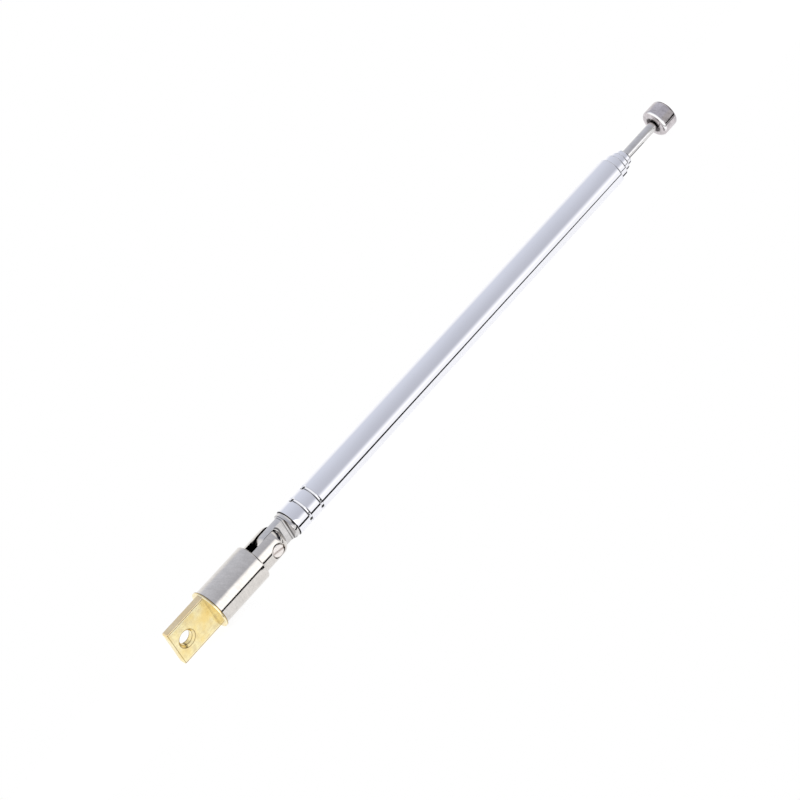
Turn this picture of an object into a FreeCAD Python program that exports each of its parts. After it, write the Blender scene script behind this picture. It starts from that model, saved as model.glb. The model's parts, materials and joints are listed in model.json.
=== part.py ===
import FreeCAD, Part
import Sketcher
import math
import os
import re

# Telescopic antenna with a screw-on brass tab, a swivel and a knuckle, drawn collapsed and straight.
# +X runs along the antenna from the tab to the tip knob, +Z is up, and the mounting screw and the
# knuckle's pin both run along Y with their heads toward -Y.
# The origin is the middle of the mounting hole, on the antenna's axis.

doc = FreeCAD.newDocument("TelescopicAntenna")

# Driving dimensions in millimetres, and degrees where the name ends in turn or arc
SIZES = {
    "tab_diameter": 9.8,
    "blade_thickness": 1.7,
    "blade_bevel": 0.15,
    "blade_corner_radius": 0.4,
    "hole_to_blade_end": 3.5,
    "hole_to_flange": 7.8,
    "mounting_hole_diameter": 3.4,
    "countersink_diameter": 4.35,
    "flange_thickness": 0.55,
    "sleeve_diameter": 9.1,
    "sleeve_wall": 0.45,
    "sleeve_length": 13.9,
    "press_clearance": 0.01,
    "swivel_clearance": 0.06,
    "fork_diameter": 7.25,
    "collar_thickness": 1.6,
    "spigot_diameter": 3.6,
    "spigot_length": 5.0,
    "swivel_spring_sheet": 0.4,
    "swivel_spring_height": 1.0,
    "pin_above_sleeve": 4.75,
    "slot_floor_below_pin": 4.7,
    "slot_width": 2.43,
    "ear_reach": 3.3,
    "ear_end_radius": 2.2,
    "ear_edge_bevel": 0.12,
    "screw_diameter": 2.0,
    "screw_head_diameter": 3.1,
    "screw_head_height": 0.9,
    "screw_head_bevel": 0.2,
    "screw_head_seat": 2.5,
    "screw_slot_width": 0.5,
    "screw_slot_depth": 0.4,
    "screw_slot_turn": 14.0,
    "screw_tail_depth": 0.03,
    "counterbore_diameter": 3.5,
    "pin_clearance": 0.05,
    "knuckle_washer_diameter": 4.4,
    "knuckle_washer_clearance": 0.03,
    "plug_diameter": 6.6,
    "tongue_thickness": 1.7,
    "tongue_length": 4.9,
    "shoulder_radius": 0.8,
    "pin_to_tube": 6.7,
    "plug_insert_length": 9.6,
    "plug_neck_margin": 1.0,
    "plug_neck_depth": 0.8,
    "outer_tube_diameter": 7.0,
    "outer_tube_length": 113.3,
    "tube_wall": 0.3,
    "tube_edge_bevel": 0.1,
    "section_gap": 0.2,
    "first_groove": 3.75,
    "second_groove": 7.5,
    "rolled_groove_width": 0.9,
    "rolled_groove_depth": 0.2,
    "dimple_diameter": 1.3,
    "dimple_point_diameter": 0.4,
    "dimple_depth": 0.42,
    "dimple_turn": 15.0,
    "lip_clearance": 0.04,
    "end_gap": 0.2,
    "second_lip_step": 2.1,
    "third_lip_step": 1.45,
    "fourth_lip_step": 1.45,
    "end_ring_length": 0.9,
    "leaf_recess_depth": 0.1,
    "leaf_length": 4.6,
    "leaf_arc": 150.0,
    "leaf_clearance": 0.03,
    "rod_gap": 0.5,
    "rod_showing": 10.8,
    "knob_diameter": 7.0,
    "knob_length": 4.7,
    "knob_edge_bevel": 0.45,
    "knob_recess_diameter": 3.6,
    "knob_recess_depth": 0.6,
    "knob_bore_depth": 3.6,
    "cut_margin": 1.0,
}
DIMPLES_PER_GROOVE = 3

sheet = doc.addObject("Spreadsheet::Sheet", "Sizes")
for row, (alias, size) in enumerate(SIZES.items(), start=1):
    sheet.set(f"A{row}", alias)
    sheet.set(f"B{row}", str(size))
    sheet.setAlias(f"B{row}", alias)
doc.recompute()

# Stations along the antenna's axis
FLANGE_START = "hole_to_flange"
SLEEVE_START = f"({FLANGE_START} + flange_thickness)"
SLEEVE_END = f"({SLEEVE_START} + sleeve_length)"
PIN = f"({SLEEVE_END} + pin_above_sleeve)"
SLEEVE_ROLL = "(sleeve_diameter / 2 - fork_diameter / 2 - swivel_clearance)"
COLLAR_END = f"({SLEEVE_END} - {SLEEVE_ROLL} - swivel_clearance)"
COLLAR_START = f"({COLLAR_END} - collar_thickness)"
SHANK_END = f"({COLLAR_START} - swivel_clearance - swivel_spring_height)"
SPIGOT_START = f"({COLLAR_START} - spigot_length)"
SLOT_FLOOR = f"({PIN} - slot_floor_below_pin)"
EAR_END = f"({PIN} + ear_reach)"
TUBE_START = f"({PIN} + pin_to_tube)"
PLUG_END = f"({TUBE_START} + plug_insert_length)"
OUTER_LIP = f"({TUBE_START} + outer_tube_length)"
SECOND_LIP = f"({OUTER_LIP} + second_lip_step)"
THIRD_LIP = f"({SECOND_LIP} + third_lip_step)"
FOURTH_LIP = f"({THIRD_LIP} + fourth_lip_step)"
SECTION_START = f"({PLUG_END} + end_gap)"
KNOB_START = f"({FOURTH_LIP} + rod_showing)"
KNOB_END = f"({KNOB_START} + knob_length)"

# How far the middle of a rounded corner of radius 1 stays back from the sharp corner, both ways
ROUND_INSET = "(1 - cos(45 deg))"

# Where the points of the ears' rounded ends lie on their arc, in degrees
EAR_ROUND_TURNS = (0, 22.5, 45, 67.5, 90)

# Radii
TAB_RADIUS = "tab_diameter / 2"
SLEEVE_BORE = "(sleeve_diameter / 2 - sleeve_wall)"
FORK_RADIUS = "fork_diameter / 2"
SLOT_HALF = "slot_width / 2"
SPIGOT_RADIUS = "spigot_diameter / 2"
PIN_RADIUS = "screw_diameter / 2"
PIN_HOLE_RADIUS = f"({PIN_RADIUS} + pin_clearance)"
PLUG_RADIUS = "plug_diameter / 2"
OUTER_RADIUS = "outer_tube_diameter / 2"
STEP = "(tube_wall + section_gap)"
SECOND_RADIUS = f"({OUTER_RADIUS} - {STEP})"
THIRD_RADIUS = f"({OUTER_RADIUS} - 2 * {STEP})"
FOURTH_RADIUS = f"({OUTER_RADIUS} - 3 * {STEP})"
ROD_RADIUS = f"({FOURTH_RADIUS} - tube_wall - rod_gap)"
BUSH_RADIUS = f"({FOURTH_RADIUS} - {STEP})"


def bound(formula):
    """The formula with each size's name written as a cell of the sheet."""
    return re.sub(r"[a-z_]+", lambda word: f"Sizes.{word[0]}" if word[0] in SIZES else word[0], formula)


def value(formula):
    return float(sheet.evalExpression(bound(formula)))


def bind(feature, **formulas):
    """Tie the feature's properties to formulas; a double underscore stands for a dot."""
    for name, formula in formulas.items():
        feature.setExpression(name.replace("__", "."), bound(formula))


def new_body(label):
    body = doc.addObject("PartDesign::Body", label)
    body.Label = label
    return body


def origin_part(body, role):
    return next(item for item in body.Origin.OriginFeatures if item.Role == role)


def new_sketch(body, name, plane="XY_Plane", offset=None):
    sketch = body.newObject("Sketcher::SketchObject", name)
    sketch.AttachmentSupport = [(origin_part(body, plane), "")]
    sketch.MapMode = "FlatFace"
    if offset:
        bind(sketch, AttachmentOffset__Base__z=offset)
    return sketch


def pin_down(sketch, geometry, end, formulas, place):
    """Hold one end of a piece of geometry at the two coordinates that the formulas give."""
    for kind, formula, number in zip(("DistanceX", "DistanceY"), formulas, place):
        index = sketch.addConstraint(Sketcher.Constraint(kind, -1, 1, geometry, end, number))
        sketch.setExpression(f"Constraints[{index}]", bound(formula))


def arc_between(start, end, radius, turn):
    """Arc from start to end, under half a circle, turning left for +1 and right for -1."""
    middle = (start + end) / 2
    chord = end - start
    rise = math.sqrt(max(radius ** 2 - (chord.Length / 2) ** 2, 0.0))
    across = FreeCAD.Vector(-chord.y, chord.x, 0).normalize()
    centre = middle + across * rise * turn
    first, last = (start, end) if turn > 0 else (end, start)
    angles = [math.atan2(point.y - centre.y, point.x - centre.x) for point in (first, last)]
    circle = Part.Circle(centre, FreeCAD.Vector(0, 0, 1), radius)
    return Part.ArcOfCircle(circle, angles[0], angles[1])


def draw_outline(sketch, corners):
    """Closed outline through corners of (x, y), or (x, y, radius, turn) where an arc leads to the next."""
    places = [FreeCAD.Vector(value(corner[0]), value(corner[1]), 0) for corner in corners]
    pieces = []
    for index, corner in enumerate(corners):
        start, end = places[index], places[(index + 1) % len(corners)]
        if len(corner) == 2:
            geometry = sketch.addGeometry(Part.LineSegment(start, end), False)
            pieces.append((geometry, 1, 2))
            continue
        radius, turn = corner[2:]
        geometry = sketch.addGeometry(arc_between(start, end, value(radius), turn), False)
        pieces.append((geometry, 1, 2) if turn > 0 else (geometry, 2, 1))
        constraint = sketch.addConstraint(Sketcher.Constraint("Radius", geometry, value(radius)))
        sketch.setExpression(f"Constraints[{constraint}]", bound(radius))
    for index, (geometry, start_end, far_end) in enumerate(pieces):
        following, following_start, _ = pieces[(index + 1) % len(pieces)]
        sketch.addConstraint(Sketcher.Constraint("Coincident", geometry, far_end, following, following_start))
        pin_down(sketch, geometry, start_end, corners[index][:2], places[index])


def draw_circle(sketch, x, y, radius):
    centre = FreeCAD.Vector(value(x), value(y), 0)
    circle = sketch.addGeometry(Part.Circle(centre, FreeCAD.Vector(0, 0, 1), value(radius)), False)
    index = sketch.addConstraint(Sketcher.Constraint("Radius", circle, value(radius)))
    sketch.setExpression(f"Constraints[{index}]", bound(radius))
    pin_down(sketch, circle, 3, (x, y), centre)


def turned(body, name, corners, axis="H_Axis"):
    """Turn a half section about the sketch's own X or Y axis."""
    sketch = new_sketch(body, f"{name}Section")
    draw_outline(sketch, corners)
    feature = body.newObject("PartDesign::Revolution", name)
    feature.Profile = sketch
    feature.ReferenceAxis = (sketch, [axis])
    feature.Angle = 360
    return feature


def cut_through(body, name, sketch):
    """Cut the sketch's outline through the whole body, both ways from its plane."""
    feature = body.newObject("PartDesign::Pocket", name)
    feature.Profile = sketch
    feature.Type = "ThroughAll"
    feature.SideType = "Symmetric"
    return feature


def edges_where(feature, test):
    doc.recompute()
    return [f"Edge{number}" for number, edge in enumerate(feature.Shape.Edges, start=1) if test(edge)]


def broken_edges(body, kind, name, base, test, size):
    """Chamfer or Fillet the edges of the base feature that pass the test."""
    names = edges_where(base, test)
    feature = body.newObject(f"PartDesign::{kind}", name)
    feature.Base = (base, names)
    bind(feature, **{"Size" if kind == "Chamfer" else "Radius": size})
    return feature


def is_line_along(edge, direction):
    if edge.Curve.TypeId != "Part::GeomLine":
        return False
    return abs(abs(edge.Curve.Direction.dot(direction)) - 1) < 1e-6


def is_circle(edge, radius):
    return edge.Curve.TypeId == "Part::GeomCircle" and abs(edge.Curve.Radius - radius) < 1e-6


def nosed_tube_section(start, end, radius, lip_radius, outer_edge, inner_edge=()):
    """Half section of a tube nosed in at its far end, so that its lip closes on the next section.

    outer_edge and inner_edge hold any further corners along the outside, from the start on, and
    along the bore, back to the start.
    """
    nose = f"({radius} - {lip_radius})"
    bore = f"({radius} - tube_wall)"
    return [
        (start, bore),
        *outer_edge,
        (f"{end} - {nose}", radius),
        (end, lip_radius),
        (f"{end} - tube_wall", lip_radius),
        (f"{end} - {nose}", bore),
        *inner_edge,
    ]


def make_mounting_tab():
    """Blade first, with its edges broken, then the flange and shank, then the screw hole."""
    body = new_body("mounting_tab")
    outline = new_sketch(body, "BladeOutline", "XZ_Plane")
    draw_outline(outline, [
        ("0 - hole_to_blade_end", f"0 - {TAB_RADIUS}"),
        (FLANGE_START, f"0 - {TAB_RADIUS}"),
        (FLANGE_START, TAB_RADIUS),
        ("0 - hole_to_blade_end", TAB_RADIUS),
    ])
    blade = body.newObject("PartDesign::Pad", "Blade")
    blade.Profile = outline
    blade.SideType = "Symmetric"
    bind(blade, Length="blade_thickness")
    blade_end = -value("hole_to_blade_end")
    rounded = broken_edges(
        body, "Fillet", "BladeCorners", blade,
        lambda edge: is_line_along(edge, FreeCAD.Vector(0, 1, 0)) and abs(edge.CenterOfMass.x - blade_end) < 1e-6,
        "blade_corner_radius")
    flange_start = value(FLANGE_START)
    half = value("blade_thickness") / 2
    broken_edges(
        body, "Chamfer", "BladeBevels", rounded,
        lambda edge: abs(abs(edge.CenterOfMass.y) - half) < 1e-6 and edge.CenterOfMass.x < flange_start - 1e-3,
        "blade_bevel")

    shank_radius = f"({SLEEVE_BORE} - press_clearance)"
    bore_radius = f"({SPIGOT_RADIUS} + swivel_clearance)"
    turned(body, "FlangeAndShank", [
        (FLANGE_START, "0"),
        (FLANGE_START, TAB_RADIUS),
        (SLEEVE_START, TAB_RADIUS),
        (SLEEVE_START, shank_radius),
        (SHANK_END, shank_radius),
        (SHANK_END, bore_radius),
        (f"{SPIGOT_START} - end_gap", bore_radius),
        (f"{SPIGOT_START} - end_gap", "0"),
    ])

    hole = new_sketch(body, "HoleOutline", "XZ_Plane")
    draw_circle(hole, "0", "0", "mounting_hole_diameter / 2")
    drilled = cut_through(body, "MountingHole", hole)
    hole_radius = value("mounting_hole_diameter") / 2
    broken_edges(
        body, "Chamfer", "Countersink", drilled,
        lambda edge: is_circle(edge, hole_radius) and edge.CenterOfMass.y < 0,
        "(countersink_diameter - mounting_hole_diameter) / 2")


def make_swivel_sleeve():
    """Drawn sleeve with its mouth rolled in over the fork's collar."""
    body = new_body("swivel_sleeve")
    radius = "sleeve_diameter / 2"
    mouth = f"({FORK_RADIUS} + swivel_clearance)"
    turned(body, "Sleeve", [
        (SLEEVE_START, SLEEVE_BORE),
        (SLEEVE_START, radius),
        (f"{SLEEVE_END} - {SLEEVE_ROLL}", radius),
        (f"{SLEEVE_END} - {SLEEVE_ROLL} * {ROUND_INSET}", f"{radius} - {SLEEVE_ROLL} * {ROUND_INSET}"),
        (SLEEVE_END, mouth),
        (f"{SLEEVE_END} - sleeve_wall", mouth),
        (f"{SLEEVE_END} - {SLEEVE_ROLL}", SLEEVE_BORE),
    ])


def make_swivel_spring():
    """Cone-shaped spring washer between the tab's shank and the fork's collar."""
    body = new_body("swivel_spring")
    inner = f"({SPIGOT_RADIUS} + 2 * swivel_clearance)"
    outer = f"({SLEEVE_BORE} - 2 * swivel_clearance)"
    turned(body, "Cone", [
        (SHANK_END, inner),
        (f"{SHANK_END} + swivel_spring_sheet", inner),
        (f"{SHANK_END} + swivel_spring_height", outer),
        (f"{SHANK_END} + swivel_spring_height - swivel_spring_sheet", outer),
    ])


def make_fork():
    body = new_body("fork")
    collar_radius = f"({SLEEVE_BORE} - swivel_clearance)"
    turned(body, "Stem", [
        (SPIGOT_START, "0"),
        (SPIGOT_START, SPIGOT_RADIUS),
        (COLLAR_START, SPIGOT_RADIUS),
        (COLLAR_START, collar_radius),
        (COLLAR_END, collar_radius),
        (COLLAR_END, FORK_RADIUS),
        *(
            (f"{EAR_END} - ear_end_radius * (1 - sin({turn} deg))",
             f"{FORK_RADIUS} - ear_end_radius * (1 - cos({turn} deg))")
            for turn in EAR_ROUND_TURNS
        ),
        (EAR_END, "0"),
    ])
    slot = new_sketch(body, "SlotOutline")
    draw_outline(slot, [
        (SLOT_FLOOR, f"0 - {SLOT_HALF}"),
        (f"{EAR_END} + cut_margin", f"0 - {SLOT_HALF}"),
        (f"{EAR_END} + cut_margin", SLOT_HALF),
        (SLOT_FLOOR, SLOT_HALF),
    ])
    slotted = cut_through(body, "Slot", slot)

    half = value(SLOT_HALF)
    ear_end = value(EAR_END)
    broken_edges(
        body, "Chamfer", "EarEdges", slotted,
        lambda edge: is_line_along(edge, FreeCAD.Vector(0, 0, 1)) and abs(edge.CenterOfMass.x - ear_end) < 1e-6
        and abs(abs(edge.CenterOfMass.y) - half) < 1e-6,
        "ear_edge_bevel")

    hole = new_sketch(body, "PinHoleOutline", "XZ_Plane")
    draw_circle(hole, PIN, "0", PIN_HOLE_RADIUS)
    cut_through(body, "PinHole", hole)
    recess = new_sketch(body, "CounterboreOutline", "XZ_Plane", "screw_head_seat")
    draw_circle(recess, PIN, "0", "counterbore_diameter / 2")
    counterbore = body.newObject("PartDesign::Pocket", "Counterbore")
    counterbore.Profile = recess
    counterbore.Type = "ThroughAll"
    counterbore.Reversed = True


def make_pivot_screw():
    """Slotted screw along Y, turned about its own middle and set at the pin's station."""
    body = new_body("pivot_screw")
    head_top = "screw_head_seat + screw_head_height"
    tail_end = f"{FORK_RADIUS} - screw_tail_depth"
    beyond = "(screw_head_diameter / 2 + cut_margin)"
    turned(body, "HeadAndShank", [
        ("0", f"0 - ({head_top})"),
        ("screw_head_diameter / 2 - screw_head_bevel", f"0 - ({head_top})"),
        ("screw_head_diameter / 2", f"0 - ({head_top}) + screw_head_bevel"),
        ("screw_head_diameter / 2", "0 - screw_head_seat"),
        (PIN_RADIUS, "0 - screw_head_seat"),
        (PIN_RADIUS, tail_end),
        ("0", tail_end),
    ], "V_Axis")
    slot = new_sketch(body, "DriverSlotOutline", "XZ_Plane", f"{head_top} - screw_slot_depth")
    draw_outline(slot, [
        (f"0 - {beyond}", "0 - screw_slot_width / 2"),
        (beyond, "0 - screw_slot_width / 2"),
        (beyond, "screw_slot_width / 2"),
        (f"0 - {beyond}", "screw_slot_width / 2"),
    ])
    driver_slot = body.newObject("PartDesign::Pocket", "DriverSlot")
    driver_slot.Profile = slot
    driver_slot.Type = "ThroughAll"
    driver_slot.Reversed = True
    body.Placement = FreeCAD.Placement(
        FreeCAD.Vector(value(PIN), 0, 0), FreeCAD.Rotation(FreeCAD.Vector(0, 1, 0), value("screw_slot_turn")))
    bind(body, Placement__Base__x=PIN)


def make_knuckle_washer(label, side):
    """Friction washer on the pin beside the tongue: side is -1 under the screw's head and +1 opposite."""
    body = new_body(label)
    inner = f"({PIN_HOLE_RADIUS} + pin_clearance)"
    near = "(tongue_thickness / 2 + knuckle_washer_clearance)"
    far = f"({SLOT_HALF} - knuckle_washer_clearance)"
    turned(body, "Ring", [
        (near, inner),
        (far, inner),
        (far, "knuckle_washer_diameter / 2"),
        (near, "knuckle_washer_diameter / 2"),
    ])
    body.Placement = FreeCAD.Placement(
        FreeCAD.Vector(value(PIN), 0, 0), FreeCAD.Rotation(FreeCAD.Vector(0, 0, 1), 90 * side))
    bind(body, Placement__Base__x=PIN)


def make_hinge_plug():
    body = new_body("hinge_plug")
    insert_radius = f"({OUTER_RADIUS} - tube_wall - press_clearance)"
    neck_radius = f"({insert_radius} - plug_neck_depth)"
    neck_start = f"{TUBE_START} + first_groove - plug_neck_margin"
    neck_end = f"{TUBE_START} + second_groove + plug_neck_margin"
    turned(body, "RoundBar", [
        (f"{PIN} - {PLUG_RADIUS}", "0"),
        (f"{PIN} - {PLUG_RADIUS}", PLUG_RADIUS),
        (TUBE_START, PLUG_RADIUS),
        (TUBE_START, insert_radius),
        (neck_start, insert_radius),
        (neck_start, neck_radius),
        (neck_end, neck_radius),
        (neck_end, insert_radius),
        (PLUG_END, insert_radius),
        (PLUG_END, "0"),
    ])
    flats = new_sketch(body, "FlatsOutline")
    before = f"{PIN} - {PLUG_RADIUS} - cut_margin"
    beyond = f"({PLUG_RADIUS} + cut_margin)"
    shoulder = f"{PIN} + tongue_length"
    for side, turn in (("", 1), ("0 - ", -1)):
        draw_outline(flats, [
            (before, f"{side}tongue_thickness / 2"),
            (shoulder, f"{side}tongue_thickness / 2", "shoulder_radius", turn),
            (f"{shoulder} + shoulder_radius", f"{side}(tongue_thickness / 2 + shoulder_radius)"),
            (f"{shoulder} + shoulder_radius", f"{side}{beyond}"),
            (before, f"{side}{beyond}"),
        ])
    cut_through(body, "Flats", flats)
    rounding = new_sketch(body, "TongueEndOutline", "XZ_Plane")
    draw_outline(rounding, [
        (PIN, PLUG_RADIUS, PLUG_RADIUS, 1),
        (f"{PIN} - {PLUG_RADIUS}", "0", PLUG_RADIUS, 1),
        (PIN, f"0 - {PLUG_RADIUS}"),
        (PIN, f"0 - {beyond}"),
        (before, f"0 - {beyond}"),
        (before, beyond),
        (PIN, beyond),
    ])
    cut_through(body, "TongueEnd", rounding)
    hole = new_sketch(body, "PinHoleOutline", "XZ_Plane")
    draw_circle(hole, PIN, "0", PIN_HOLE_RADIUS)
    cut_through(body, "PinHole", hole)


def make_outer_tube():
    """Tube staked to the plug: two rolled grooves, each with dimples punched round it."""
    body = new_body("outer_tube")
    bore = f"({OUTER_RADIUS} - tube_wall)"
    outside = [
        (TUBE_START, f"{OUTER_RADIUS} - tube_edge_bevel"),
        (f"{TUBE_START} + tube_edge_bevel", OUTER_RADIUS),
    ]
    inside = []
    for station in ("first_groove", "second_groove"):
        low = f"{TUBE_START} + {station} - rolled_groove_width / 2"
        high = f"{TUBE_START} + {station} + rolled_groove_width / 2"
        floor_low = f"{low} + rolled_groove_depth"
        floor_high = f"{high} - rolled_groove_depth"
        outside += [
            (low, OUTER_RADIUS),
            (floor_low, f"{OUTER_RADIUS} - rolled_groove_depth"),
            (floor_high, f"{OUTER_RADIUS} - rolled_groove_depth"),
            (high, OUTER_RADIUS),
        ]
        inside = [
            (high, bore),
            (floor_high, f"{bore} - rolled_groove_depth"),
            (floor_low, f"{bore} - rolled_groove_depth"),
            (low, bore),
        ] + inside
    turned(body, "Tube", nosed_tube_section(
        TUBE_START, OUTER_LIP, OUTER_RADIUS, f"({SECOND_RADIUS} + lip_clearance)", outside, inside))

    punched = []
    for name, station in (("First", "first_groove"), ("Second", "second_groove")):
        dimple = body.newObject("PartDesign::SubtractiveCone", f"{name}Dimple")
        dimple.Placement = FreeCAD.Placement(
            FreeCAD.Vector(), FreeCAD.Rotation(FreeCAD.Vector(1, 0, 0), 90))
        bind(dimple, Placement__Base__x=f"{TUBE_START} + {station}",
             Placement__Base__y=f"dimple_depth - {OUTER_RADIUS}",
             Radius1="dimple_point_diameter / 2", Radius2="dimple_diameter / 2", Height="dimple_depth")
        punched.append(dimple)
    doc.recompute()
    dimples = body.newObject("PartDesign::PolarPattern", "Dimples")
    dimples.Originals = punched
    dimples.Axis = (origin_part(body, "X_Axis"), [""])
    dimples.Angle = 360
    dimples.Occurrences = DIMPLES_PER_GROOVE
    body.Tip = dimples
    body.Placement = FreeCAD.Placement(
        FreeCAD.Vector(), FreeCAD.Rotation(FreeCAD.Vector(1, 0, 0), value("dimple_turn")))


def recessed_end(start, radius):
    """Corners along the outside of a section's lower end: a ring, then the recess for its leaves."""
    recess_start = f"{start} + end_ring_length"
    recess_end = f"{recess_start} + leaf_length + 2 * leaf_clearance"
    floor = f"{radius} - leaf_recess_depth"
    return [
        (start, radius),
        (recess_start, radius),
        (recess_start, floor),
        (recess_end, floor),
        (recess_end, radius),
    ]


def make_section(label, lip, radius, next_radius):
    """Inner tube: it rests just clear of the plug, and its lip closes round the next section."""
    body = new_body(label)
    turned(body, "Tube", nosed_tube_section(
        SECTION_START, lip, radius, f"({next_radius} + lip_clearance)", recessed_end(SECTION_START, radius)))


def make_leaf(label, radius, around, side):
    """Half-shell leaf between the recess of a section of this radius and the bore around it."""
    body = new_body(label)
    start = f"({SECTION_START} + end_ring_length + leaf_clearance)"
    inner = f"({radius} - leaf_recess_depth + leaf_clearance)"
    outer = f"({around} - leaf_clearance)"
    sketch = new_sketch(body, "LeafSection")
    draw_outline(sketch, [
        (start, inner),
        (f"{start} + leaf_length", inner),
        (f"{start} + leaf_length", outer),
        (start, outer),
    ])
    leaf = body.newObject("PartDesign::Revolution", "Leaf")
    leaf.Profile = sketch
    leaf.ReferenceAxis = (sketch, ["H_Axis"])
    leaf.Midplane = True
    bind(leaf, Angle="leaf_arc")
    if side == "right":
        body.Placement = FreeCAD.Placement(FreeCAD.Vector(), FreeCAD.Rotation(FreeCAD.Vector(1, 0, 0), 180))


def make_rod_bush():
    body = new_body("rod_bush")
    bore = f"({ROD_RADIUS} + press_clearance)"
    end = f"{SECTION_START} + 2 * end_ring_length + leaf_length + 2 * leaf_clearance"
    turned(body, "Bush", [
        (SECTION_START, bore),
        *recessed_end(SECTION_START, BUSH_RADIUS),
        (end, BUSH_RADIUS),
        (end, bore),
    ])


def make_tip_rod():
    body = new_body("tip_rod")
    far_end = f"{KNOB_START} + knob_bore_depth - press_clearance"
    turned(body, "Rod", [
        (SECTION_START, "0"),
        (SECTION_START, ROD_RADIUS),
        (far_end, ROD_RADIUS),
        (far_end, "0"),
    ])


def make_tip_knob():
    body = new_body("tip_knob")
    radius = "knob_diameter / 2"
    bore = f"({ROD_RADIUS} + press_clearance)"
    turned(body, "Knob", [
        (f"{KNOB_START} + knob_bore_depth", "0"),
        (f"{KNOB_START} + knob_bore_depth", bore),
        (f"{KNOB_START} + knob_recess_depth", bore),
        (f"{KNOB_START} + knob_recess_depth", "knob_recess_diameter / 2"),
        (KNOB_START, "knob_recess_diameter / 2"),
        (KNOB_START, f"{radius} - knob_edge_bevel"),
        (f"{KNOB_START} + knob_edge_bevel", radius),
        (f"{KNOB_END} - knob_edge_bevel", radius),
        (KNOB_END, f"{radius} - knob_edge_bevel"),
        (KNOB_END, "0"),
    ])


make_mounting_tab()
make_swivel_sleeve()
make_swivel_spring()
make_fork()
make_pivot_screw()
make_knuckle_washer("knuckle_washer_front", -1)
make_knuckle_washer("knuckle_washer_rear", 1)
make_hinge_plug()
make_outer_tube()
make_section("second_tube", SECOND_LIP, SECOND_RADIUS, THIRD_RADIUS)
make_section("third_tube", THIRD_LIP, THIRD_RADIUS, FOURTH_RADIUS)
make_section("fourth_tube", FOURTH_LIP, FOURTH_RADIUS, ROD_RADIUS)
make_tip_rod()
make_rod_bush()
make_tip_knob()
for owner, own_radius, outer_radius in (
        ("second_tube", SECOND_RADIUS, OUTER_RADIUS),
        ("third_tube", THIRD_RADIUS, SECOND_RADIUS),
        ("fourth_tube", FOURTH_RADIUS, THIRD_RADIUS),
        ("rod", BUSH_RADIUS, FOURTH_RADIUS)):
    for side in ("left", "right"):
        make_leaf(f"{owner}_leaf_{side}", own_radius, f"({outer_radius} - tube_wall)", side)

doc.recompute()
for item in doc.Objects:
    if "Invalid" in item.State or "Error" in item.State:
        raise RuntimeError(f"{item.Name} failed: {item.State}")
bodies = [item for item in doc.Objects if item.TypeId == "PartDesign::Body"]
os.makedirs("parts", exist_ok=True)
for body in bodies:
    if body.Shape.isNull() or not body.Shape.isValid() or len(body.Shape.Solids) != 1:
        raise RuntimeError(f"{body.Label} has no sound solid")
    body.Shape.exportStep(f"parts/{body.Label}.step")
print(len(bodies), "sub-parts written")
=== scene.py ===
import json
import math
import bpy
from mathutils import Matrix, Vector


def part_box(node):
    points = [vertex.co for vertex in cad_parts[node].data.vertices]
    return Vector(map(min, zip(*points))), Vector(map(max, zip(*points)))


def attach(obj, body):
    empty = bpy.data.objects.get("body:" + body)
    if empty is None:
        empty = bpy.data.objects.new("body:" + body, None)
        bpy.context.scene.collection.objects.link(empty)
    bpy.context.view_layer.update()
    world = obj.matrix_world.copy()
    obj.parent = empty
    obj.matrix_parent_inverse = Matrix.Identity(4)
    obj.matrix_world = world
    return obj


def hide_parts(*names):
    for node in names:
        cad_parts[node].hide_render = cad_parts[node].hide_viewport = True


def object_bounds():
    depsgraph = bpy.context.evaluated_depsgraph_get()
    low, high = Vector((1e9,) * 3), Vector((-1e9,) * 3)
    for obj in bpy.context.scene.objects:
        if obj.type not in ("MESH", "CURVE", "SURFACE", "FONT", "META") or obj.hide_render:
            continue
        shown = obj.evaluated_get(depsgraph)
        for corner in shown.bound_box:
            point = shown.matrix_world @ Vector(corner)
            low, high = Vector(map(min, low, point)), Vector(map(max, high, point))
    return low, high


bl_info = {
    "name": "Telescopic antenna",
    "version": (1, 0, 0),
    "blender": (4, 5, 0),
    "location": "3D View > Sidebar > Antenna",
    "description": "Turned, drawn and plated surfaces for a collapsed telescopic antenna, and its studio",
    "category": "Object",
}

import bmesh
import bpy
import numpy as np
from mathutils import Matrix, Vector

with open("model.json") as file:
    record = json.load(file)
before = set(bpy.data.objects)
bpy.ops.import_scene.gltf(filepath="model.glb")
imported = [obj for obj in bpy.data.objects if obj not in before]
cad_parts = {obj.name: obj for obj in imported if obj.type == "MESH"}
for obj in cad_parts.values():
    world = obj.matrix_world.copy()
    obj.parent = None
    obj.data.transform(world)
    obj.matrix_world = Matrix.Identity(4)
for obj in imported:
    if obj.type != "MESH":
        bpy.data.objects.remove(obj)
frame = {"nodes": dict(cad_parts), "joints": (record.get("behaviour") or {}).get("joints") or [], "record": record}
CAD_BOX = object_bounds()
MM = 0.001


def span(node):
    """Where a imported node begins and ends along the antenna, and its largest radius, in millimetres."""
    low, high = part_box(node)
    return low.x / MM, high.x / MM, max(high.y, high.z) / MM


PIN = next(joint for joint in frame["joints"] if joint["name"] == "knuckle")["pos_m"][0] / MM
TUBES = ("outer_tube", "second_tube", "third_tube", "fourth_tube")
NEXT_RADII = [span(node)[2] for node in (*TUBES[1:], "tip_rod")]
# Gap round a piece that turns in another, and round one that sits fast in another, in millimetres
TURNING, SEATED = 0.06, 0.01


# Outlines and grids

def pairs(first, second):
    """Points of two coordinates, either of which may be one number for all."""
    return np.stack(np.broadcast_arrays(first, second), 1)


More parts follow.
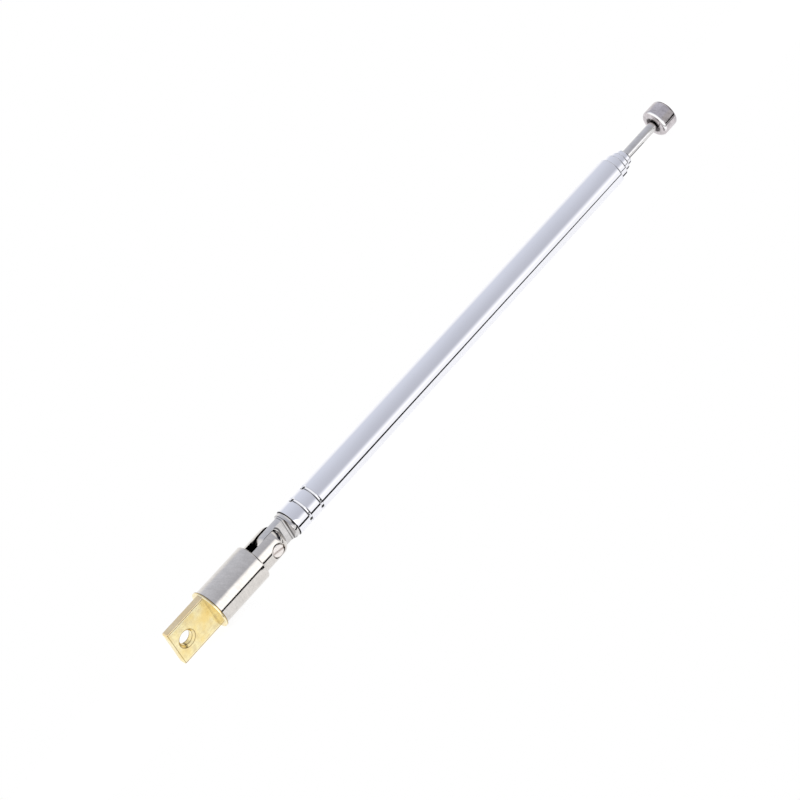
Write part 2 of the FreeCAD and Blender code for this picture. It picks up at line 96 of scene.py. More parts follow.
def rounded(corners, closed=False, steps=6):
    """Outline through corners of (along, out, radius).

    A corner whose sides turn by the angle t becomes an arc tangent to both sides. The arc's ends lie
    radius * tan(t / 2) from the corner, and its centre lies radius / cos(t / 2) from it, on the
    line that halves the corner.
    """
    corners = np.asarray(corners, float)
    places, count = corners[:, :2], len(corners)
    pieces = []
    for index, (place, radius) in enumerate(zip(places, corners[:, 2])):
        if radius <= 0 or (not closed and index in (0, count - 1)):
            pieces.append(place[None])
            continue
        back = places[index - 1] - place
        ahead = places[(index + 1) % count] - place
        back_length, ahead_length = np.linalg.norm(back), np.linalg.norm(ahead)
        back, ahead = back / back_length, ahead / ahead_length
        turn = math.pi - math.acos(np.clip(back @ ahead, -1, 1))
        if turn < 1e-3:
            pieces.append(place[None])
            continue
        cut = min(radius * math.tan(turn / 2), 0.49 * back_length, 0.49 * ahead_length)
        radius = cut / math.tan(turn / 2)
        middle = (back + ahead) / np.linalg.norm(back + ahead)
        centre = place + middle * radius / math.cos(turn / 2)
        start = place + back * cut - centre
        side = np.sign(start[1] * back[0] - start[0] * back[1])
        angle = math.atan2(start[1], start[0]) + side * np.linspace(0, turn, steps + 1)
        pieces.append(centre + radius * pairs(np.cos(angle), np.sin(angle)))
    return np.concatenate(pieces)


def turned(profile, around=128, station=None):
    """Profile of (along, radius) turned about X, or about Y at the given station.

    At the angle a the point is (along, radius cos a, radius sin a), or
    (station + radius cos a, along, radius sin a).
    """
    angle = np.linspace(0, 2 * math.pi, around, endpoint=False)
    along = np.repeat(profile[:, 0, None], around, 1)
    across, up = profile[:, 1, None] * np.cos(angle), profile[:, 1, None] * np.sin(angle)
    return np.stack([along, across, up], -1) if station is None else np.stack([station + across, along, up], -1)


def divided(outline, step):
    """Closed outline whose sides are divided evenly, so that no two neighbours lie farther apart than the step."""
    ahead = np.roll(outline, -1, 0)
    counts = np.ceil(np.linalg.norm(ahead - outline, axis=1) / step - 1e-6).astype(int)
    share = np.concatenate([np.arange(count) / count for count in counts])[:, None]
    start = np.repeat(outline, counts, 0)
    return start + (np.repeat(ahead, counts, 0) - start) * share


def clipped_disc(radius, half, across=17, around=33):
    """Loop round a disc cut off flat at +half and -half: a flat, an arc, a flat and an arc.

    An arc runs between the angles whose sine is half / radius, and a flat joins its ends.
    """
    half = min(half, radius)
    rise = math.asin(half / radius)
    reach = radius * math.cos(rise)
    flat = np.linspace(-reach, reach, across)[:-1]
    arc = np.linspace(rise, -rise, around)[:-1]
    side = radius * pairs(np.sin(arc), np.cos(arc))
    top = pairs(half, flat)
    return np.concatenate([top, side, -top, -side])


def pierced(outline, centre, wall, edge, face, flat, rings=28):
    """Grid of a plate with a round hole, as seen along Y: one closed loop for every outline point.

    wall rows are (distance from the hole's centre, y, share) and edge rows are (inset from the
    outline, y, share). A share of 1 sets the row on the plate's front face, where y counts from
    face(x, z), and 0 or none leaves y as it is. The back of the plate is the plane y = flat. Between
    hole and outline the front is drawn in rings that crowd toward the outline as 1 - (1 - s)^2.
    """
    run = np.roll(outline, -1, 0) - outline
    run /= np.linalg.norm(run, axis=1)[:, None]
    run += np.roll(run, 1, 0)
    normal = pairs(run[:, 1], -run[:, 0]) / np.linalg.norm(run, axis=1)[:, None]
    if np.sum(normal * (outline - centre)) < 0:
        normal = -normal
    ray = (outline - centre) / np.linalg.norm(outline - centre, axis=1)[:, None]

    def placed(spot, y, share=0):
        """Row of (x, z) points set at its height."""
        height = face(spot[:, 0], spot[:, 1])
        level = height + y if share else np.full(len(spot), float(y))
        if not share and flat > 0:
            level = np.minimum(level, np.maximum(height, flat))
        elif not share:
            level = np.maximum(level, np.minimum(height, flat))
        return np.stack([spot[:, 0], level, spot[:, 1]], 1)

    walls = [placed(centre + ray * distance, *height) for distance, *height in wall]
    edges = [placed(outline - normal * inset, *height) for inset, *height in edge]
    inner, outer = walls[-1][:, ::2], edges[0][:, ::2]
    share = 1 - (1 - np.linspace(0, 1, rings)[1:-1]) ** 2
    front = [placed(inner + (outer - inner) * part, 0, 1) for part in share]
    return np.stack(walls + front + edges, 0)


def half_moon(radius, offset, around=40, across=12):
    """Loop round the part of a disc beyond a chord at the offset: the arc, then the chord."""
    start = math.asin(offset / radius)
    arc = np.linspace(start, math.pi - start, around)
    chord = np.linspace(-math.cos(start), math.cos(start), across)[1:-1] * radius
    return np.concatenate([radius * pairs(np.cos(arc), np.sin(arc)), pairs(chord, offset)])


def closed_end(loop):
    """The loop drawn together to its middle, which closes a surface."""
    return np.broadcast_to(loop.mean(0), (1, *loop.shape))


def grid_faces(rows, columns, close_rows, first):
    """Corners of a grid's four-sided faces, numbered from first. Each row is a loop."""
    row = np.arange(rows if close_rows else rows - 1)[:, None]
    column = np.arange(columns)[None]
    next_row, next_column = (row + 1) % rows, (column + 1) % columns
    corner = [row * columns + column, row * columns + next_column,
              next_row * columns + next_column, next_row * columns + column]
    return first + np.stack([item.ravel() for item in np.broadcast_arrays(*corner)], 1)


def make_piece(name, grids, material, node, sharp=50.0):
    """Piece made of grids of (points, whether the rows close into a ring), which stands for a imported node."""
    points, faces, first = [], [], 0
    for grid, close_rows in grids:
        rows, columns = grid.shape[:2]
        points.append(grid.reshape(-1, 3) * MM)
        faces.append(grid_faces(rows, columns, close_rows, first))
        first += rows * columns
    mesh = bpy.data.meshes.new(name)
    mesh.from_pydata(np.concatenate(points), [], np.concatenate(faces))
    shell = bmesh.new()
    shell.from_mesh(mesh)
    weld = 2e-7
    bmesh.ops.remove_doubles(shell, verts=shell.verts, dist=weld)
    bmesh.ops.dissolve_degenerate(shell, edges=shell.edges, dist=weld / 2)
    bmesh.ops.recalc_face_normals(shell, faces=shell.faces)
    shell.to_mesh(mesh)
    shell.free()
    mesh.shade_smooth()
    mesh.set_sharp_from_angle(angle=math.radians(sharp))
    piece = bpy.data.objects.new(name, mesh)
    bpy.context.scene.collection.objects.link(piece)
    mesh.materials.append(material)
    even = piece.modifiers.new("EvenNormals", "WEIGHTED_NORMAL")
    even.keep_sharp = True
    even.weight = 100
    body = next(body for body, nodes in frame["record"]["behaviour"]["bodies"].items() if node in nodes)
    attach(piece, body)
    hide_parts(node)
    return piece


# Shader maths

def grey(level):
    return level, level, level, 1.0


def opaque(colour):
    return (*colour[:3], 1.0)


def shaded(colour, factor):
    """The colour made lighter or darker, up to full strength."""
    return (*(min(channel * factor, 1.0) for channel in colour[:3]), 1.0)


# DARK is the colour of painted shade and painted dark reflections; the last colour here is that of a painted
# highlight.
DARK, WHITE, HIGHLIGHT_WHITE = grey(0.02), grey(1.0), (0.96, 0.95, 0.95, 1.0)
# Brass colours of a painted highlight, of painted shade on the long edges and of painted dark lines.
BRASS_HIGHLIGHT, BRASS_EDGE_SHADE, BRASS_SHADE = (1.0, 0.93, 0.70, 1.0), (0.80, 0.62, 0.42, 1.0), (0.22, 0.13, 0.05, 1.0)


class Wire:
    """A socket of a node tree whose operators add Math nodes. The bar takes the larger of two masks."""

    def __init__(self, tree, socket):
        self.tree, self.socket = tree, socket

    def math(self, operation, *others):
        return self.tree.node("ShaderNodeMath", {"operation": operation}, self, *others)

    def __add__(self, other):
        return self.math("ADD", other)

    def __sub__(self, other):
        return self.math("SUBTRACT", other)

    def __rsub__(self, other):
        return self.tree.node("ShaderNodeMath", {"operation": "SUBTRACT"}, other, self)

    def __mul__(self, other):
        return self.math("MULTIPLY", other)

    def __truediv__(self, other):
        return self.math("DIVIDE", other)

    def __rtruediv__(self, other):
        return self.tree.node("ShaderNodeMath", {"operation": "DIVIDE"}, other, self)

    def __or__(self, other):
        return self.math("MAXIMUM", other)

    def __abs__(self):
        return self.math("ABSOLUTE")

    __radd__, __rmul__, __ror__ = __add__, __mul__, __or__


class Tree:
    """A material's or the world's node tree, which adds nodes by type, settings and inputs."""

    def __init__(self, owner):
        owner.use_nodes = True
        self.owner = owner
        self.nodes, self.links = owner.node_tree.nodes, owner.node_tree.links
        self.nodes.clear()

    def node(self, kind, settings=None, *inputs, output=0, **named):
        node = self.nodes.new(kind)
        for key, setting in (settings or {}).items():
            setattr(node, key, setting)
        for key, source in [*enumerate(inputs), *named.items()]:
            socket = node.inputs[key.replace("_", " ") if isinstance(key, str) else key]
            if isinstance(source, Wire):
                self.links.new(source.socket, socket)
            elif source is not None:
                socket.default_value = source
        return Wire(self, node.outputs[output]) if node.outputs else None

    def place(self):
        return self.node("ShaderNodeTexCoord", output="Object")

    def parts(self, vector):
        """The three coordinates of a vector."""
        split = self.node("ShaderNodeSeparateXYZ", None, vector).socket.node
        return [Wire(self, socket) for socket in split.outputs]

    def spot(self):
        """Place along the antenna, across it and up, in millimetres."""
        return self.parts(self.node("ShaderNodeVectorMath", {"operation": "SCALE"}, self.place(), Scale=1 / MM))

    def ramp(self, amount, start, end):
        """Smooth step from zero at start to one at end."""
        return self.node("ShaderNodeMapRange", {"interpolation_type": "SMOOTHSTEP"}, amount, start, end)

    def line(self, amount, centre, width):
        """One where the amount is the centre, falling to zero at the width on both sides."""
        return self.ramp(abs(amount - centre), width, 0.3 * width)

    def between(self, amount, low, high, start=0.0, end=1.0):
        """Even change from low at start to high at end."""
        return self.node("ShaderNodeMapRange", None, amount, start, end, low, high)

    def length(self, first, second):
        return (first * first + second * second).math("SQRT")

    def noise(self, stretch, detail=3.0, roughness=0.5, turn=0.0):
        """Noise over object coordinates that are turned about the vertical and then stretched."""
        place = self.node("ShaderNodeMapping", {"vector_type": "TEXTURE"}, self.place(),
                          Rotation=(0.0, 0.0, turn), Scale=[1.0 / size for size in stretch])
        return self.node("ShaderNodeTexNoise", None, Vector=place, Scale=1.0, Detail=detail, Roughness=roughness)

    def blend(self, amount, first, second):
        """Mix of two colours, which are a Mix node's seventh and eighth sockets."""
        return self.node("ShaderNodeMix", {"data_type": "RGBA"}, amount, *[None] * 5, first, second, output=2)

    def faded(self, amount, shader):
        """The shader where the amount is zero, and nothing where it is one."""
        return self.node("ShaderNodeMixShader", None, amount, shader, self.node("ShaderNodeBsdfTransparent"))

    def bump(self, height, distance):
        return self.node("ShaderNodeBump", None, Distance=distance, Height=height)

    def surface(self, shader, target="ShaderNodeOutputMaterial"):
        """Lead the shader to the output, and return the tree's owner."""
        self.node(target, None, shader)
        return self.owner

    def metal(self, colour, roughness, normal=None):
        return self.surface(self.node(
            "ShaderNodeBsdfPrincipled", None, Base_Color=colour, Metallic=1.0, Roughness=roughness, Normal=normal))


def drawn_chrome(name, colour, roughness, painted_shade):
    """Bright plate over drawn tube: fine lines along the tube, and faint broad unevenness in the polish.

    The crevice takes the tree to a mask between 0 and 1 of painted shade and painted dark reflections, where the
    plate is blended to dark.
    """
    tree = Tree(bpy.data.materials.new(name))
    lines = tree.noise((40, 4000, 4000), 4.0, 0.6)
    clouds = tree.noise((60, 250, 250), 2.0)
    tint = tree.blend(clouds, shaded(colour, 0.95), shaded(colour, 1.05))
    # Painted shade and painted dark reflections, blended toward dark by the crevice mask.
    tint = tree.blend(painted_shade(tree), tint, DARK)
    return tree.metal(tint, tree.between(clouds + lines * 0.6, roughness * 0.5, roughness * 1.1),
                      tree.bump(lines, 2e-7))


def turned_plate(name, colour, roughness, painted_shade, pitch=0.0002, contrast=0.11, painted_highlight=None):
    """Plate over turned metal: rings of tool marks across the axis, slanting streaks and a mottled tone.

    The crevice takes the tree to a mask between 0 and 1 of painted shade, where the plate is blended to dark, and
    worn to one of a painted highlight, where it is blended to near white. The pitch of the rings is in metres.
    """
    tree = Tree(bpy.data.materials.new(name))
    rings = tree.noise((1 / pitch, 60, 60), 3.0, 0.7)
    grain = tree.noise([2600] * 3, 3.0, 0.6)
    mottle = tree.noise([500] * 3, 3.0, 0.6)
    streaks = tree.noise((2200, 500, 500), 2.0, 0.5, turn=0.5)
    tone = mottle * 0.35 + grain * 0.3 + rings * 0.05 + streaks * 0.3
    tint = tree.blend(tree.ramp(tone, 0.3, 0.7), shaded(colour, 1 - contrast), shaded(colour, 1 + contrast))
    # Painted highlight, blended toward near white, then painted shade, blended toward dark.
    if painted_highlight:
        tint = tree.blend(painted_highlight(tree), tint, HIGHLIGHT_WHITE)
    tint = tree.blend(painted_shade(tree), tint, DARK)
    return tree.metal(tint, tree.between(mottle * 0.5 + rings * 0.5, roughness * 0.75, roughness * 1.3),
                      tree.bump(rings * 0.5 + grain * 0.5, 1e-6))


def milled_brass(name, colour, roughness, lines, pale_highlight, rim):
    """Pale brass with a long soft grain, a duller mottle and darker tarnish in patches.

    lines, sheltered and rim take the tree to masks of painted dark lines of shade and reflection, of the painted
    highlight on the flange and bevels, and of painted shade on the long edges.
    """
    tree = Tree(bpy.data.materials.new(name))
    grain = tree.noise((250, 250, 5000), 4.0, 0.65)
    mottle = tree.noise([900] * 3, 5.0, 0.6)
    patches = tree.noise([260] * 3, 2.0)
    tint = tree.blend(tree.ramp(mottle, 0.3, 0.7), shaded(colour, 0.82), shaded(colour, 1.12))
    tarnish = (colour[0] * 0.94, colour[1] * 0.86, colour[2] * 0.6, 1.0)
    tint = tree.blend(tree.ramp(patches, 0.35, 0.75), tint, tarnish)
    # Painted highlight, painted shade on the long edges, then painted dark lines, over the brass's own tone.
    tint = tree.blend(pale_highlight(tree), tint, BRASS_HIGHLIGHT)
    tint = tree.blend(rim(tree), tint, BRASS_EDGE_SHADE)
    tint = tree.blend(lines(tree) * 0.8, tint, BRASS_SHADE)
    return tree.metal(tint, tree.between(mottle * 0.6 + grain * 0.4, roughness * 0.8, roughness * 1.25),
                      tree.bump(grain * 0.5 + mottle * 0.5, 2.5e-6))


def plain_metal(name, colour, roughness):
    """Sheet or wire metal that hardly shows: an even tone with a fine mottle."""
    tree = Tree(bpy.data.materials.new(name))
    mottle = tree.noise([1200] * 3)
    return tree.metal(tree.blend(mottle, shaded(colour, 0.9), shaded(colour, 1.05)),
                      tree.between(mottle, roughness * 0.8, roughness * 1.2))


# Sizes and colours that a user may change

def millimetres(name, description, default, least=0.0):
    return bpy.props.FloatProperty(name=name, description=f"{description}, mm", default=default, min=least)


def degrees(name, description, default):
    return bpy.props.FloatProperty(
        name=name, description=description, default=math.radians(default), subtype="ANGLE")


def fraction(name, description, default):
    return bpy.props.FloatProperty(name=name, description=description, default=default, min=0, max=1)


def rgb(name, description, default, most=1.0):
    return bpy.props.FloatVectorProperty(
        name=name, description=description, default=default, subtype="COLOR", size=3, min=0, max=most)


class TubeSizes(bpy.types.PropertyGroup):
    wall: millimetres("Wall", "Thickness of each drawn tube", 0.3, 0.05)
    lip_clearance: millimetres("Lip clearance", "Gap between a lip and the next section", 0.04)
    groove_width: millimetres("Groove width", "Width of a rolled groove", 0.8, 0.1)
    groove_depth: millimetres("Groove depth", "Depth of a rolled groove", 0.15)
    first_groove: millimetres("First groove", "Distance from the tube's base to the first groove", 3.75)
    second_groove: millimetres("Second groove", "Distance from the tube's base to the second groove", 7.5)
    dimple_diameter: millimetres("Dimple diameter", "Width of a staked dimple", 1.7, 0.1)
    dimple_depth: millimetres("Dimple depth", "Depth of a staked dimple", 0.42)
    dimple_turn: degrees("Dimple turn", "Turn of the dimples about the antenna", 15)
    dimple_count: bpy.props.IntProperty(
        name="Dimples", description="Dimples round each groove", default=3, min=0)
    recess_depth: millimetres("Leaf recess", "Depth of the recess that holds a section's leaves", 0.1)
    end_ring: millimetres("End ring", "Length of the ring below a section's leaves", 0.9)
    leaf_room: millimetres("Leaf room", "Length of the recess that holds a section's leaves", 4.66)


class KnuckleSizes(bpy.types.PropertyGroup):
    slot_width: millimetres("Fork slot", "Width of the fork's slot", 2.43, 0.5)
    slot_floor: millimetres("Slot floor", "Distance from the pin down to the slot's floor", 4.7)
    ear_round: millimetres("Ear rounding", "Rounding of the ears' ends", 2.2, 0.1)
    collar: millimetres("Collar", "Thickness of the collar held in the sleeve", 1.6)
    fork_diameter: millimetres("Fork diameter", "Diameter of the fork above the sleeve", 7.25)
    spigot_diameter: millimetres("Spigot", "Diameter of the fork's spigot in the tab's shank", 3.6)
    counterbore: millimetres("Counterbore", "Diameter of the recess for the screw's head", 3.5)
    head_seat: millimetres("Head seat", "Distance from the axis to the seat of the screw's head", 2.5)
    pin_hole: millimetres("Pin hole", "Diameter of the pin's hole", 2.1)
    head_diameter: millimetres("Screw head", "Diameter of the screw's head", 3.1)
    head_height: millimetres("Head height", "Height of the screw's head", 0.9)
    driver_slot: millimetres("Driver slot", "Width of the screw's slot", 0.5)
    driver_depth: millimetres("Slot depth", "Depth of the screw's slot", 0.4)
    driver_turn: degrees("Slot turn", "Turn of the screw's slot from the antenna's axis", 14)
    tongue: millimetres("Tongue", "Thickness of the plug's tongue", 1.7, 0.2)
    tongue_length: millimetres("Tongue length", "Distance from the pin to the plug's shoulder", 4.9)
    shoulder: millimetres("Shoulder", "Radius of the hollow at the plug's shoulder", 0.8)


class EndSizes(bpy.types.PropertyGroup):
    blade: millimetres("Blade", "Thickness of the screw-on blade", 1.7, 0.2)
    blade_round: millimetres("Blade edge", "Rounding of the blade's edges", 0.2, 0.02)
    blade_corner: millimetres("Blade corner", "Rounding of the blade's corners", 0.4)
    hole: millimetres("Mounting hole", "Diameter of the screw hole", 3.4, 0.5)
    countersink: millimetres("Countersink", "Diameter of the hole's countersink", 4.35)
    flange: millimetres("Flange", "Thickness of the round flange", 0.55, 0.1)
    sleeve_wall: millimetres("Sleeve wall", "Thickness of the swivel's sleeve", 0.45, 0.1)
    knob_round: millimetres("Knob edge", "Rounding of the tip knob's end", 0.7, 0.05)
    knob_front: millimetres("Knob front", "Rounding of the tip knob's edge toward the rod", 1.1, 0.05)
    knob_recess: millimetres("Knob recess", "Diameter of the recess round the rod", 3.6)
    knob_recess_depth: millimetres("Recess depth", "Depth of the recess round the rod", 0.6)


class Finishes(bpy.types.PropertyGroup):
    chrome: rgb("Chrome", "Colour of the plated tubes", (0.86, 0.86, 0.90))
    chrome_roughness: fraction("Chrome roughness", "Roughness of the plated tubes", 0.04)
    bright_nickel: rgb("Bright nickel", "Colour of the plug and the rod", (0.64, 0.625, 0.62))
    satin_nickel: rgb("Satin nickel", "Colour of the sleeve and the fork", (0.67, 0.64, 0.61))
    knob_nickel: rgb("Knob nickel", "Colour of the tip knob", (0.56, 0.52, 0.535))
    satin_roughness: fraction("Satin roughness", "Roughness of the sleeve, the fork and the knob", 0.08)
    screw: rgb("Screw", "Colour of the pivot screw", (0.88, 0.83, 0.80))
    brass: rgb("Brass", "Colour of the mounting tab", (0.95, 0.81, 0.49))
    bronze: rgb("Bronze", "Colour of the washers, leaves and bush", (0.62, 0.42, 0.22))
    steel: rgb("Spring steel", "Colour of the disc spring", (0.45, 0.45, 0.46))


class StudioSizes(bpy.types.PropertyGroup):
    aim: millimetres("Aim", "Point of the antenna's axis at the middle of the picture", 71.45)
    distance: millimetres("Distance", "Distance from the camera to that point", 595.0)
    lens: millimetres("Lens", "Focal length on a 36 mm sensor", 122.2)
    away: degrees("Tip away", "How far the tip leans away from the picture's plane", 19.5)
    above: degrees("Above", "Turn of the view about the antenna, up from level", 45)
    slant: degrees("Slant", "Angle of the antenna in the picture, from level", 47.52)
    offset: millimetres("Offset", "How far the camera stands beside the antenna's axis", 0.29, -50.0)
    ceiling_front: rgb("Ceiling in front", "Light from the ceiling's front", (0.585, 0.60, 0.66), 2.0)
    ceiling_back: rgb("Ceiling behind", "Light from the ceiling's back", (0.74, 0.77, 0.85), 2.0)
    wall_front: rgb("Wall in front", "Light from the wall behind the camera", (1.2, 1.2, 1.22), 2.0)
    wall_back: rgb("Wall behind", "Light from the wall behind the antenna", (1.02, 1.02, 1.03), 2.0)
    window: millimetres("Window", "Where the bright cards stand in front", -45.0, -1000.0)


# Cards round the antenna that only reflections show, in millimetres. A dark one has its corners on the
# floor, and a bright one its range of x, its range of z, where it fades out upward and its strength.

DARK_CARDS = {
    "card_blade": [(0, -12), (10.5, -12), (10.5, -20), (0, -20)],
    "card_sleeve": [(12, -25), (27.5, -25), (33, -45), (17.5, -45)],
    "card_fork": [(25, -18), (34, -18), (40, -45), (31, -45)],
    "card_tubes": [(35, -10), (180, -11.4), (180, -13.6), (35, -17)],
    "card_rod": [(149, -1.6), (160, -1.6), (160, -3.6), (149, -3.6)],
    "card_knob": [(170, -16), (180, -16), (187, -33), (177, -33)],
    "card_end": [(179, -12), (500, -5), (500, -400), (186, -60)],
}
BRIGHT_CARDS = {
    "window_tall": ((0, 45), (-2.4, 60), (26, 52), 1.6),
    "strip_sleeve": ((14, 34), (-4.9, -2.4), (60, 61), 0.01),
    "wall_knob": ((183, 215), (-4.6, 60), (20, 50), 0.6),
}


# The antenna's pieces

class AntennaOperator:
    bl_options = {"REGISTER", "UNDO"}

    @staticmethod
    def finish(name, make):
        """The finish's material, made once."""
        return bpy.data.materials.get(name) or make()

    def chrome(self, context):
        """Chrome with painted shade where the tube bears on the plug, in the dimples, beside the grooves and inside
        the lips, and painted dark reflections on the front of the lips, noses and grooves.
        """
        finishes, sizes = context.scene.antenna_finishes, context.scene.antenna_tubes
        base, _, radius = span("outer_tube")

        def painted_shade(tree):
            along, across, up = tree.spot()
            reach = tree.length(across, up)
            marks = tree.ramp(along, base + 0.1, base + 0.02)
            # front weights the marks on one side of the tube, which are painted dark reflections; the rest is
            # painted shade.
            front = tree.line(up / reach, 0.36, 0.34) * tree.ramp(across, 0.0, -0.5)
            for node, next_radius in zip(TUBES, NEXT_RADII):
                end = span(node)[1]
                lip = tree.line(reach, next_radius + sizes.lip_clearance + 0.05, 0.06) * tree.ramp(
                    along, end - 0.2, end - 0.1)
                nose = tree.ramp(reach, next_radius + 0.02, next_radius + 0.04) * tree.ramp(
                    along, end - 0.4, end - 0.25)
                marks = marks | lip * (front * 0.5 + 0.5) | nose * front * 0.9
            for groove in (sizes.first_groove, sizes.second_groove):
                middle = base + groove
                flanks = tree.line(along, middle - 0.22, 0.3) | tree.line(along, middle + 0.36, 0.2)
                dimple = tree.line(reach, radius - 0.28, 0.12) * tree.line(along, middle, sizes.dimple_diameter)
                marks = marks | flanks * (front * 0.8 + 0.15) | dimple
            return marks

        return self.finish("tube_finish", lambda: drawn_chrome(
            "tube_finish", finishes.chrome, finishes.chrome_roughness, painted_shade))

    def bright(self, context):
        """Bright nickel with painted shade at the tube's base, in the shoulder's hollow and step, beside the ears'
        ends and where the rod enters the knob, and a painted highlight in a stripe along one side of the rod."""
        finishes, sizes = context.scene.antenna_finishes, context.scene.antenna_knuckle
        base, ear_end = span("outer_tube")[0], span("fork")[1]
        shoulder = PIN + sizes.tongue_length
        bend, radius = sizes.ear_round, sizes.fork_diameter / 2
        mouth, knob = span("fourth_tube")[1], span("tip_knob")[0]

        # Painted shade at the seam with the tube, the shoulder's hollow and step, beside the ears' ends, and on the
        # rod by the knob.
        def painted_shade(tree):
            along, across, up = tree.spot()
            seam = tree.line(along, base - 0.05, 0.08) * 0.8
            hollow = tree.line(along, shoulder + 0.25, 0.16) * 0.6
            step = tree.line(along, shoulder + sizes.shoulder - 0.1, 0.12) * 0.8
            past = (along - (ear_end - bend)) | 0.0
            aside = (abs(up) - (radius - bend)) | 0.0
            shade = tree.line(tree.length(past, aside), bend + 0.28, 0.3)
            flat = tree.line(abs(across), sizes.tongue / 2, 0.06) * 0.85
            before = tree.ramp(along, shoulder - 0.2, shoulder - 0.3)
            buried = tree.ramp(along, knob - 0.7, knob - 0.1) * 0.45
            return shade * flat * before | seam | hollow | step | buried

        # Painted highlight: a white stripe on one side of the rod, standing in for a reflection.
        def painted_highlight(tree):
            along, across, up = tree.spot()
            stripe = tree.line(up / tree.length(across, up), 0.27, 0.28) * tree.ramp(across, 0.0, -0.3)
            return stripe * tree.ramp(along, mouth, mouth + 0.1)

        return self.finish("rod_finish", lambda: turned_plate(
            "rod_finish", finishes.bright_nickel, 0.06, painted_shade, pitch=0.0004, contrast=0.1, painted_highlight=painted_highlight))


class ANTENNA_OT_tab(AntennaOperator, bpy.types.Operator):
    """Brass tab: a blade with rounded edges round a countersunk hole, a flange and a shank"""
    bl_idname = "antenna.tab"
    bl_label = "Mounting tab"

    def execute(self, context):
        sizes = context.scene.antenna_ends
        start, shank_end, radius = span("mounting_tab")
        sleeve_start = span("swivel_sleeve")[0]
        flange_start = sleeve_start - sizes.flange
        half, edge = sizes.blade / 2, sizes.blade_round
        hole, sink = sizes.hole / 2, sizes.countersink / 2
        corner, sunk = sizes.blade_corner, flange_start + 0.7 * sizes.flange
        outline = divided(rounded([
            (start, -radius, corner), (sunk, -radius, corner), (sunk, radius, corner),
            (start, radius, corner)], closed=True, steps=8), 0.3)
        wall = rounded([
            (hole + 1.0, half, 0), (hole, half, 0.08), (hole, half - sizes.blade + sink - hole, 0.04),
            (sink, -half, 0.05), (sink + 1.0, -half, 0)])[1:-1]
        side = rounded([(1.0, -half, 0), (0, -half, edge), (0, half, edge), (1.0, half, 0)])[1:-1]
        blade = pierced(outline, np.zeros(2), wall, side, lambda x, z: np.full_like(x, -half), half, rings=10)
        shank = span("swivel_sleeve")[2] - sizes.sleeve_wall - SEATED
        bore = context.scene.antenna_knuckle.spigot_diameter / 2 + TURNING
        depth = span("fork")[0] - 0.2
        flange = turned(rounded([
            (flange_start, 0, 0), (flange_start, radius, 0.12), (sleeve_start, radius, 0.06),
            (sleeve_start, shank, 0.05), (shank_end, shank, 0.1), (shank_end, bore, 0.05),
            (depth, bore, 0.05), (depth, 0, 0)]))
        finishes = context.scene.antenna_finishes

        # Painted dark lines of shade and reflection: along the blade's border, at the countersink's rim and in the
        # hole, at the joint to the sleeve and at the flange's foot.
        def lines(tree):
            along, across, up = tree.spot()
            centre, height = tree.length(along, up), abs(up)
            front = tree.ramp(across, -half + 0.1, -half + 0.04)
            before = tree.ramp(along, flange_start, flange_start - 0.1)
            border = tree.line(height, radius - edge - 0.05, 0.1) | tree.line(along, start + edge + 0.05, 0.1)
            rims = tree.line(centre, sink + 0.03, 0.12)
            inside = tree.ramp(centre, hole + 0.06, hole + 0.02)
            steps = tree.line(across, half - 0.12, 0.16) | tree.line(across, sink - hole - half + 0.04, 0.14)
            joint = tree.line(along, sleeve_start, 0.3)
            foot = tree.line(along, flange_start - 0.12, 0.14) * 0.35
            back = tree.line(across, half - 0.04, 0.16) * tree.ramp(height, radius - edge, radius - 0.5 * edge)
            return (border * before | rims) * front | steps * inside | joint | foot | back * before * 0.7

        # Painted highlight on the front face's bevels, and a pale line on the flange.
        def pale_highlight(tree):
            along, across, up = tree.spot()
            front = tree.ramp(across, -half + 0.1, -half + 0.04)
            bevel = tree.line(abs(up), radius - edge - 0.28, 0.12) * tree.ramp(
                along, flange_start, flange_start - 0.1)
            return bevel * front * 0.9 | tree.line(along, flange_start + 0.1, 0.14) * 0.8

        # Painted shade on the blade's long rounded edges.
        def rim(tree):
            along, _, up = tree.spot()
            flank = tree.ramp(abs(up), radius - edge, radius - 0.5 * edge)
            return flank * tree.ramp(along, flange_start, flange_start - 0.1) * 0.6

        brass = milled_brass("tab_finish", finishes.brass, 0.24, lines, pale_highlight, rim)
        make_piece("brass_tab", [(blade, True), (flange, False)], brass, "mounting_tab")
        return {"FINISHED"}


class ANTENNA_OT_sleeve(AntennaOperator, bpy.types.Operator):
    """Swivel sleeve: a drawn cup without a floor whose mouth is rolled in over the fork's collar"""
    bl_idname = "antenna.sleeve"
    bl_label = "Swivel sleeve"

    def execute(self, context):
        start, end, radius = span("swivel_sleeve")
        wall = context.scene.antenna_ends.sleeve_wall
        mouth = context.scene.antenna_knuckle.fork_diameter / 2 + TURNING
        roll = radius - mouth
        profile = rounded([
            (start, radius - wall, 0.05), (start, radius, 0.1), (end, radius, roll * 0.98),
            (end, mouth, 0.1), (end - wall, mouth, 0.05), (end - roll, radius - wall, 0.1)], closed=True, steps=10)
        finishes = context.scene.antenna_finishes

        # Painted shade on the rolled lip next to the fork and at the sleeve's end against the flange.
        def painted_shade(tree):
            along, across, up = tree.spot()
            lip = tree.ramp(tree.length(across, up), mouth + 0.24, mouth + 0.1)
            return lip | tree.ramp(along, start + 0.2, start + 0.1)

        nickel = turned_plate("sleeve_finish", finishes.satin_nickel, finishes.satin_roughness, painted_shade)
        make_piece("sleeve", [(turned(profile), True)], nickel, "swivel_sleeve")
        return {"FINISHED"}


